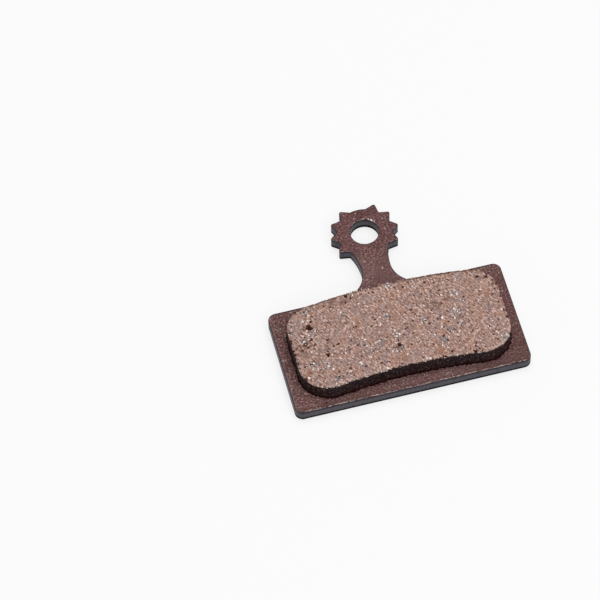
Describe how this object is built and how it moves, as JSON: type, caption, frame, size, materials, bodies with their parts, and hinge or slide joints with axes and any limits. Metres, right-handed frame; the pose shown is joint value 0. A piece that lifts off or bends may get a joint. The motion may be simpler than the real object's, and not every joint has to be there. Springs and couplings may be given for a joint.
{
  "type": "bicycle disc brake pad",
  "caption": "Disc brake pad: a moulded block of friction compound on a rectangular steel backing plate with a necked, toothed tab round the pin hole.",
  "frame": {"origin": "pin hole's axis at the back face of the plate", "axes": "+X along the plate's length, +Y from the plate towards the pin tab, +Z out of the friction face"},
  "size_m": [0.03, 0.0275, 0.0038],
  "materials": {
    "coated_steel": "fine speckled brown coat on the faces, bare grey at the sheared edges",
    "friction_compound": "rough and granular, with metal flecks and pits"
  },
  "bodies": {
    "root": {"backing_plate": "coated_steel", "friction_block": "friction_compound"}
  },
  "joints": []
}
